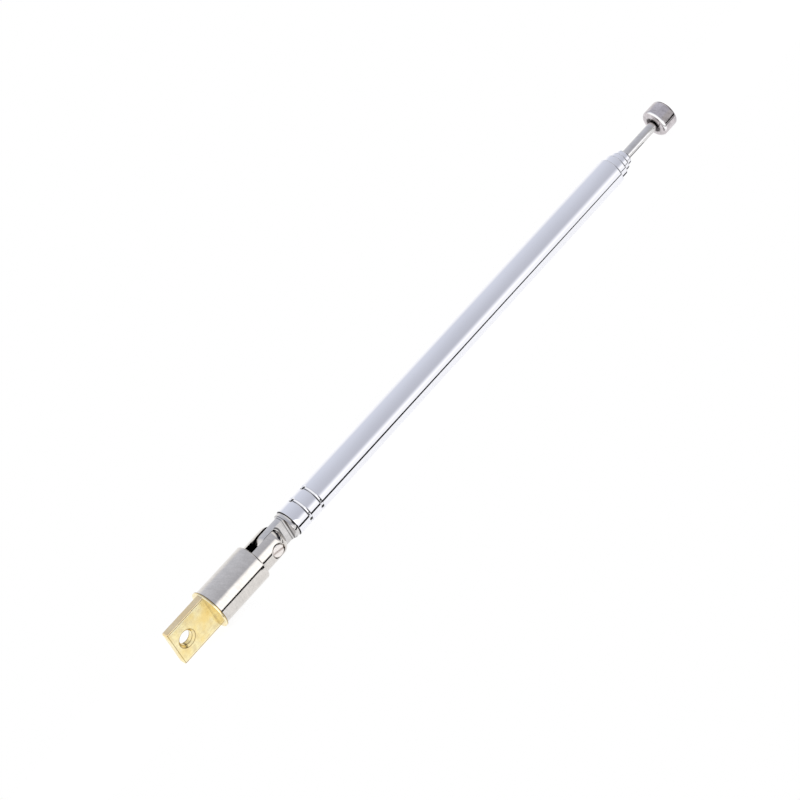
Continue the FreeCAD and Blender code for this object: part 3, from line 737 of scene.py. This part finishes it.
class ANTENNA_OT_fork(AntennaOperator, bpy.types.Operator):
    """Fork: a turned stem with a collar and spigot, and two ears with rounded ends round the pin"""
    bl_idname = "antenna.fork"
    bl_label = "Fork"

    def execute(self, context):
        sizes = context.scene.antenna_knuckle
        start, end, collar_radius = span("fork")
        radius, slot, bend = sizes.fork_diameter / 2, sizes.slot_width / 2, sizes.ear_round
        floor = PIN - sizes.slot_floor
        sleeve_end, sleeve_radius = span("swivel_sleeve")[1:]
        collar_end = sleeve_end - (sleeve_radius - radius - TURNING) - TURNING
        spigot = sizes.spigot_diameter / 2
        stem = turned(rounded([
            (start, 0, 0), (start, spigot, 0.1), (collar_end - sizes.collar, spigot, 0.05),
            (collar_end - sizes.collar, collar_radius, 0.08), (collar_end, collar_radius, 0.08),
            (collar_end, radius, 0.05), (floor, radius, 0), (floor, 0, 0)]), around=180)

        def reach(x):
            """Radius of the round bar that the ears are cut from: its end is rounded over."""
            past = np.clip(x - (end - bend), 0, bend)
            return radius - bend + np.sqrt(np.maximum(bend ** 2 - past ** 2, 0))

        def bar(x, z):
            """The front ear's face: y = -sqrt(reach^2 - z^2), or the slot's side where that is farther out."""
            return -np.sqrt(np.maximum(reach(x) ** 2 - z ** 2, slot ** 2))

        along = np.concatenate([
            np.linspace(floor, end - bend, 30)[:-1],
            end - bend + bend * np.sin(np.linspace(0, math.pi / 2, 24))])
        half_height = np.sqrt(reach(along) ** 2 - slot ** 2)
        upper = pairs(along, half_height)
        tip = half_height[-1]
        across = np.linspace(tip, -tip, 24)[1:-1]
        back = np.linspace(-half_height[0], half_height[0], 40)[1:-1]
        outline = np.concatenate([upper, pairs(end, across), (upper * (1, -1))[::-1], pairs(floor, back)])
        edge = [(0, 0, 1), (0, -slot - 0.09, 0), (0.02, -slot - 0.04, 0), (0.05, -slot - 0.01, 0), (0.09, -slot, 0)]
        hole, counterbore = sizes.pin_hole / 2, sizes.counterbore / 2
        centre = np.array([PIN, 0.0])
        front = pierced(outline, centre, [
            (hole, -slot, 0), (hole, -sizes.head_seat + 0.04, 0), (hole + 0.04, -sizes.head_seat, 0),
            (counterbore - 0.04, -sizes.head_seat, 0), (counterbore, -sizes.head_seat - 0.04, 0),
            (counterbore, 0.1, 1), (counterbore + 0.02, 0.03, 1), (counterbore + 0.07, 0, 1)], edge, bar, -slot)
        rear = pierced(outline, centre, [
            (hole, -slot, 0), (hole, 0.08, 1), (hole + 0.03, 0.02, 1), (hole + 0.08, 0, 1)], edge, bar, -slot)
        rear = rear * (1, -1, 1)
        finishes = context.scene.antenna_finishes

        # Painted shade inside the slot and where the fork enters the sleeve.
        def painted_shade(tree):
            along, across, up = tree.spot()
            deep = tree.ramp(tree.length(across, up), radius - 0.15, radius - 0.35)
            inside = tree.ramp(abs(across), slot + 0.05, slot + 0.005)
            above = tree.ramp(along, floor - 0.02, floor)
            return inside * deep * above | tree.ramp(along, sleeve_end + 0.15, sleeve_end - 0.1)

        nickel = turned_plate("fork_finish", finishes.satin_nickel, finishes.satin_roughness, painted_shade)
        make_piece("fork_ears", [(stem, False), (front, True), (rear, True)], nickel,
                   "fork", sharp=40)
        return {"FINISHED"}


class ANTENNA_OT_screw(AntennaOperator, bpy.types.Operator):
    """Pivot screw: a turned head and shank, with two half-moons that leave the driver's slot between them"""
    bl_idname = "antenna.screw"
    bl_label = "Pivot screw"

    def execute(self, context):
        sizes = context.scene.antenna_knuckle
        radius, seat = sizes.head_diameter / 2, -sizes.head_seat
        top = seat - sizes.head_height
        floor = top + sizes.driver_depth
        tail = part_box("pivot_screw")[1].y / MM
        pin = sizes.pin_hole / 2 - 0.05
        shank = turned(rounded([
            (floor, 0, 0), (floor, radius, 0.03), (seat, radius, 0.08), (seat, pin, 0.05),
            (tail, pin, 0.15), (tail, 0, 0)]), around=96, station=PIN)
        levels = [(floor + 0.05, 0), (top + 0.2, 0), (top + 0.1, 0.03), (top + 0.04, 0.08), (top, 0.17), (top, 0.4)]
        lug = np.stack([np.insert(half_moon(radius - inset, sizes.driver_slot / 2 + min(inset, 0.1)), 2, level, 1)
                        for level, inset in levels])
        lug = np.concatenate([lug, closed_end(lug[-1])])
        turn, lift = math.cos(sizes.driver_turn), math.sin(sizes.driver_turn)
        moons = []
        for side in (1, -1):
            along, across = lug[..., 0], lug[..., 1] * side
            moons.append((np.stack([
                PIN + along * turn + across * lift, lug[..., 2], across * turn - along * lift], -1), False))
        finishes = context.scene.antenna_finishes
        steel = plain_metal("screw_finish", finishes.screw, 0.2)
        make_piece("slotted_screw", [(shank, False), *moons], steel, "pivot_screw", sharp=60)
        return {"FINISHED"}


class ANTENNA_OT_plug(AntennaOperator, bpy.types.Operator):
    """Hinge plug: a tongue with a round end, hollow shoulders, and a plug staked in the tube's base"""
    bl_idname = "antenna.plug"
    bl_label = "Hinge plug"

    def execute(self, context):
        sizes, tubes = context.scene.antenna_knuckle, context.scene.antenna_tubes
        _, end, radius = span("hinge_plug")
        base, _, tube_radius = span("outer_tube")
        half, hollow = sizes.tongue / 2, sizes.shoulder
        shoulder = PIN + sizes.tongue_length
        sunk, waist, margin = 0.4, 0.8, 1.0
        turn = np.linspace(math.pi / 2, 3 * math.pi / 2, 80)
        disc = pairs(PIN + radius * np.cos(turn), radius * np.sin(turn))
        side = np.linspace(PIN, shoulder, 20)[1:]
        lower = pairs(side, -radius)
        bridge = np.linspace(-radius + sunk, radius - sunk, 40)
        outline = np.concatenate([disc, lower, pairs(shoulder + sunk, bridge), (lower * (1, -1))[::-1]])
        lean = radius - math.sqrt(radius ** 2 - half ** 2)
        edge = rounded([(1.0, -half, 0), (lean, -half, 0.1), (0, 0, 0.5), (lean, half, 0.1), (1.0, half, 0)])[1:-1]
        hole = sizes.pin_hole / 2
        wall = rounded([(hole + 1, half, 0), (hole, half, 0.05), (hole, -half, 0.05), (hole + 1, -half, 0)])[1:-1]
        tongue = pierced(outline, np.array([PIN, 0.0]), wall, edge, lambda x, z: np.full_like(x, -half), half,
                         rings=8)
        sweep = np.linspace(0, math.pi / 2, 13)
        ramp = [(shoulder + hollow * math.sin(angle), half + hollow * (1 - math.cos(angle))) for angle in sweep]
        face = shoulder + hollow
        loops = [(shoulder - 0.1, half - 0.03, radius), *((x, level, radius) for x, level in ramp)]
        loops += [(face + 0.01, half + hollow + 0.03, radius), (face + 0.01, radius - 0.16, radius),
                  (face + 0.05, radius - 0.06, radius), (face + 0.12, radius, radius)]
        insert = tube_radius - tubes.wall - SEATED
        neck = insert - waist
        low, high = base + tubes.first_groove - margin, base + tubes.second_groove + margin
        round_part = [(base - 0.06, radius), (base, radius - 0.05), (base, insert), (low, insert), (low, neck),
                      (high, neck), (high, insert), (end, insert), (end, 1e-3)]
        loops += [(x, size, size) for x, size in round_part]
        shaft = np.stack([np.insert(clipped_disc(size, level), 0, x, 1) for x, level, size in loops])
        shaft = np.concatenate([closed_end(shaft[0]), shaft])
        make_piece("hinge_tongue", [(tongue, True), (shaft, False)], self.bright(context),
                   "hinge_plug", sharp=40)
        return {"FINISHED"}


class ANTENNA_OT_tubes(AntennaOperator, bpy.types.Operator):
    """Drawn tubes: the outer one with rolled grooves and staked dimples, and each with a nosed-in lip"""
    bl_idname = "antenna.tubes"
    bl_label = "Tubes"

    def execute(self, context):
        sizes = context.scene.antenna_tubes
        for node, next_radius in zip(TUBES, NEXT_RADII):
            start, end, radius = span(node)
            lip, bore = next_radius + sizes.lip_clearance, radius - sizes.wall
            nose = radius - lip
            if node == "outer_tube":
                lower = [(start, bore, 0.03), (start, radius, 0.12)]
                margin, step = 1.2, 0.05
                fine = np.arange(start + sizes.first_groove - margin, start + sizes.second_groove + margin, step)
                lower += [(x, radius, 0) for x in fine]
            else:
                ring, recess = start + sizes.end_ring, radius - sizes.recess_depth
                room = ring + sizes.leaf_room
                lower = [(start, bore, 0.05), (start, radius, 0.05), (ring, radius, 0.02), (ring, recess, 0.02),
                         (room, recess, 0.02), (room, radius, 0.02)]
            profile = rounded([
                *lower, (end, radius, nose * 0.9), (end, lip, 0.06), (end - sizes.wall, lip, 0.05),
                (end - nose, bore, 0.1)], closed=True, steps=10)
            surface = turned(profile, around=288 if node == "outer_tube" else 128)
            if node == "outer_tube":
                surface = self.staked(surface, profile, start, radius, sizes)
            make_piece(f"{node}_drawn", [(surface, True)], self.chrome(context), node)
        return {"FINISHED"}

    @staticmethod
    def staked(surface, profile, start, radius, sizes):
        """The tube's outside pressed in by its grooves and dimples.

        A groove's depth falls off as (1 + cos(2 pi d / width)) / 2 with the distance d along the tube,
        a dimple's as (1 + cos(2 pi d / diameter)) / 2 with the distance d over the surface, and
        the deeper of the two counts.
        """
        along = surface[..., 0]
        angle = np.arctan2(surface[..., 2], surface[..., 1])
        depth = np.zeros(along.shape)
        for station in (sizes.first_groove, sizes.second_groove):
            off = along - start - station
            reach = np.clip(np.abs(off) / (sizes.groove_width / 2), 0, 1)
            depth = np.maximum(depth, sizes.groove_depth * (1 + np.cos(math.pi * reach)) / 2)
            for number in range(sizes.dimple_count):
                centre = math.pi + sizes.dimple_turn + number * 2 * math.pi / sizes.dimple_count
                turn = (angle - centre + math.pi) % (2 * math.pi) - math.pi
                reach = np.clip(np.hypot(off, turn * radius) / (sizes.dimple_diameter / 2), 0, 1)
                depth = np.maximum(depth, sizes.dimple_depth * (1 + np.cos(math.pi * reach)) / 2)
        outside = np.isclose(profile[:, 1], radius, atol=1e-6)[:, None]
        share = np.where(outside, 1 - depth / radius, 1.0)
        return surface * np.stack([np.ones_like(share), share, share], -1)


class ANTENNA_OT_tip(AntennaOperator, bpy.types.Operator):
    """Tip: a solid rod, and a round knob with rounded edges and a recess round the rod"""
    bl_idname = "antenna.tip"
    bl_label = "Rod and knob"

    def execute(self, context):
        sizes = context.scene.antenna_ends
        start, rod_end, rod = span("tip_rod")
        knob_start, knob_end, radius = span("tip_knob")
        recess, depth = sizes.knob_recess / 2, sizes.knob_recess_depth
        turned_rod = turned(rounded([(start, 0, 0), (start, rod, 0.1), (rod_end, rod, 0.1), (rod_end, 0, 0)]),
                            around=96)
        make_piece("rod", [(turned_rod, False)], self.bright(context), "tip_rod")
        bore, floor = rod + SEATED, rod_end + SEATED
        knob = turned(rounded([
            (floor, 0, 0), (floor, bore, 0.02), (knob_start + depth, bore, 0.02),
            (knob_start + depth, recess, 0.1), (knob_start, recess, 0.12), (knob_start, radius, sizes.knob_front),
            (knob_end, radius, sizes.knob_round), (knob_end, 0, 0)], steps=12))
        finishes = context.scene.antenna_finishes

        # Painted shade round the rod's recess, wider than the recess itself.
        def painted_shade(tree):
            _, across, up = tree.spot()
            return tree.ramp(tree.length(across, up), recess + 0.35, recess + 0.15) * 0.55

        # Painted highlight: a pale crescent on one side of the knob's front edge, standing in for a glint.
        def painted_highlight(tree):
            along, across, up = tree.spot()
            band = tree.ramp(along, knob_start + 0.15, knob_start + 0.3) * tree.ramp(
                along, knob_start + 0.74, knob_start + 0.62)
            return band * tree.ramp(up - across, 0.5 * radius, radius)

        nickel = turned_plate(
            "knob_finish", finishes.knob_nickel, finishes.satin_roughness, painted_shade, contrast=0.3, painted_highlight=painted_highlight)
        make_piece("knob", [(knob, False)], nickel, "tip_knob")
        return {"FINISHED"}


class ANTENNA_OT_hidden(AntennaOperator, bpy.types.Operator):
    """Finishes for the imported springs, washers, leaves and bush, which keep their own shapes"""
    bl_idname = "antenna.hidden"
    bl_label = "Springs and leaves"

    def execute(self, context):
        finishes = context.scene.antenna_finishes
        bronze = plain_metal("leaf_finish", finishes.bronze, 0.35)
        steel = plain_metal("spring_finish", finishes.steel, 0.3)
        for name, node in frame["nodes"].items():
            if "leaf" in name or "washer" in name or name in ("rod_bush", "swivel_spring"):
                node.data.materials.clear()
                node.data.materials.append(steel if name == "swivel_spring" else bronze)
        return {"FINISHED"}


class ANTENNA_OT_studio(AntennaOperator, bpy.types.Operator):
    """Studio: a pale floor, a bright room with a greyer ceiling, cards that only reflections show, and the camera"""
    bl_idname = "antenna.studio"
    bl_label = "Studio"

    def execute(self, context):
        sizes = context.scene.antenna_studio
        level, reach = CAD_BOX[0][2] / MM - 0.02, 3000
        self.sheet("floor", [(-reach, -reach), (reach, -reach), (reach, reach), (-reach, reach)], level,
                   self.floor_paper())
        dark = self.glow("dark_card", 0.01)
        for name, corners in DARK_CARDS.items():
            self.card(name, corners, level + 0.1, dark)
        for name, ((left, right), (low, high), fade, strength) in BRIGHT_CARDS.items():
            self.card(name, [(x, sizes.window) for x in (left, right, right, left)], [low, low, high, high],
                      self.glow(name, strength, fade))
        self.make_room(context.scene, sizes)
        self.make_camera(context.scene, sizes)
        context.scene.view_settings.view_transform = "Standard"
        return {"FINISHED"}

    @staticmethod
    def sheet(name, corners, heights, material):
        """Flat sheet through four (x, y) corners at one height or at their own heights, in millimetres."""
        heights = np.broadcast_to(heights, 4)
        mesh = bpy.data.meshes.new(name)
        mesh.from_pydata([(x * MM, y * MM, z * MM) for (x, y), z in zip(corners, heights)], [], [(0, 1, 2, 3)])
        mesh.materials.append(material)
        sheet = bpy.data.objects.new(name, mesh)
        bpy.context.scene.collection.objects.link(sheet)
        return sheet

    def card(self, name, corners, heights, material):
        """Sheet that only reflections show."""
        card = self.sheet(name, corners, heights, material)
        card.visible_camera = card.visible_diffuse = card.visible_shadow = card.visible_transmission = False

    @staticmethod
    def floor_paper():
        """White paper that the camera sees only under the antenna, and not below the knuckle, so that it
        hides no section swung down."""
        tree = Tree(bpy.data.materials.new("floor_paper"))
        matt = tree.node("ShaderNodeBsdfDiffuse", None, grey(0.30))
        glow = tree.node("ShaderNodeEmission", None, WHITE, 0.82)
        paper = tree.node("ShaderNodeAddShader", None, matt, glow)
        along, across, _ = tree.spot()
        away = tree.ramp(abs(across), 6, 12) | tree.ramp(abs(along - PIN), 14, 10)
        seen = tree.node("ShaderNodeLightPath", output="Is Camera Ray")
        return tree.surface(tree.faded(seen * away, paper))

    @staticmethod
    def glow(name, strength, fade=None):
        """Even light, which fades out upward between two heights."""
        tree = Tree(bpy.data.materials.new(name))
        light = tree.node("ShaderNodeEmission", None, WHITE, strength)
        return tree.surface(tree.faded(tree.ramp(tree.spot()[2], *fade), light) if fade else light)

    @staticmethod
    def make_room(scene, sizes):
        """Room by direction: a ceiling that pales toward the back, pale walls below it, a white end past the
        tab with a dark spot straight along the axis, and an end past the tip that is dark low down."""
        scene.world = bpy.data.worlds.new("room")
        tree = Tree(scene.world)
        along, depth, height = tree.parts(tree.node("ShaderNodeTexCoord", output="Generated"))
        back = tree.between(depth, 0.0, 1.0, -0.667, 0.743)
        ceiling = tree.blend(back, opaque(sizes.ceiling_front), opaque(sizes.ceiling_back))
        walls = tree.blend(back, opaque(sizes.wall_front), opaque(sizes.wall_back))
        colour = tree.blend(tree.ramp(height, 0.06, 0.54), walls, ceiling)
        colour = tree.blend(tree.ramp(along, 0.1, -0.4), colour, grey(1.1))
        tip_end = tree.blend(tree.ramp(height, 0.35, 0.6), (0.03, 0.03, 0.04, 1.0), WHITE)
        colour = tree.blend(tree.ramp(along, 0.5, 0.7), colour, tip_end)
        colour = tree.blend(tree.ramp(along, -0.93, -0.98), colour, grey(0.1))
        colour = tree.blend(tree.node("ShaderNodeLightPath", output="Is Camera Ray"), colour, WHITE)
        tree.surface(tree.node("ShaderNodeBackground", None, colour, 1.0), "ShaderNodeOutputWorld")

    @staticmethod
    def make_camera(scene, sizes):
        """Camera that looks at the aim from above and beside, with the antenna at its slant in the picture."""
        lens = bpy.data.cameras.new("camera")
        lens.lens, lens.sensor_width, lens.sensor_fit = sizes.lens, 36.0, "AUTO"
        lens.clip_start, lens.clip_end = 0.01, 20.0
        camera = bpy.data.objects.new("camera", lens)
        scene.collection.objects.link(camera)
        level = math.cos(sizes.away)
        toward = Vector((-math.sin(sizes.away), -level * math.cos(sizes.above), level * math.sin(sizes.above)))
        along = (Vector((1, 0, 0)) - toward * toward.x).normalized()
        up = toward.cross(along)
        right = along * math.cos(sizes.slant) - up * math.sin(sizes.slant)
        top = along * math.sin(sizes.slant) + up * math.cos(sizes.slant)
        turn = Matrix((right, top, toward)).transposed().to_4x4()
        place = (Vector((sizes.aim, 0, 0)) + toward * sizes.distance + up * sizes.offset) * MM
        camera.matrix_world = Matrix.Translation(place) @ turn
        scene.camera = camera


class ANTENNA_PT_panel(bpy.types.Panel):
    bl_label = "Telescopic antenna"
    bl_idname = "ANTENNA_PT_panel"
    bl_space_type = "VIEW_3D"
    bl_region_type = "UI"
    bl_category = "Antenna"

    def draw(self, context):
        for operator in STEPS:
            self.layout.operator(operator.bl_idname)
        for name in GROUPS:
            box = self.layout.box()
            group = getattr(context.scene, name)
            for key in group.__annotations__:
                box.prop(group, key)


STEPS = (ANTENNA_OT_tab, ANTENNA_OT_sleeve, ANTENNA_OT_fork, ANTENNA_OT_screw, ANTENNA_OT_plug,
         ANTENNA_OT_tubes, ANTENNA_OT_tip, ANTENNA_OT_hidden, ANTENNA_OT_studio)
GROUPS = {"antenna_tubes": TubeSizes, "antenna_knuckle": KnuckleSizes, "antenna_ends": EndSizes,
          "antenna_finishes": Finishes, "antenna_studio": StudioSizes}
CLASSES = (*GROUPS.values(), *STEPS, ANTENNA_PT_panel)


def register():
    for item in CLASSES:
        bpy.utils.register_class(item)
    for name, group in GROUPS.items():
        setattr(bpy.types.Scene, name, bpy.props.PointerProperty(type=group))


def unregister():
    for name in GROUPS:
        delattr(bpy.types.Scene, name)
    for item in reversed(CLASSES):
        bpy.utils.unregister_class(item)


def main():
    register()
    bpy.ops.antenna.tab()
    bpy.ops.antenna.sleeve()
    bpy.ops.antenna.fork()
    bpy.ops.antenna.screw()
    bpy.ops.antenna.plug()
    bpy.ops.antenna.tubes()
    bpy.ops.antenna.tip()
    bpy.ops.antenna.hidden()
    bpy.ops.antenna.studio()


if __name__ == "__main__":
    main()
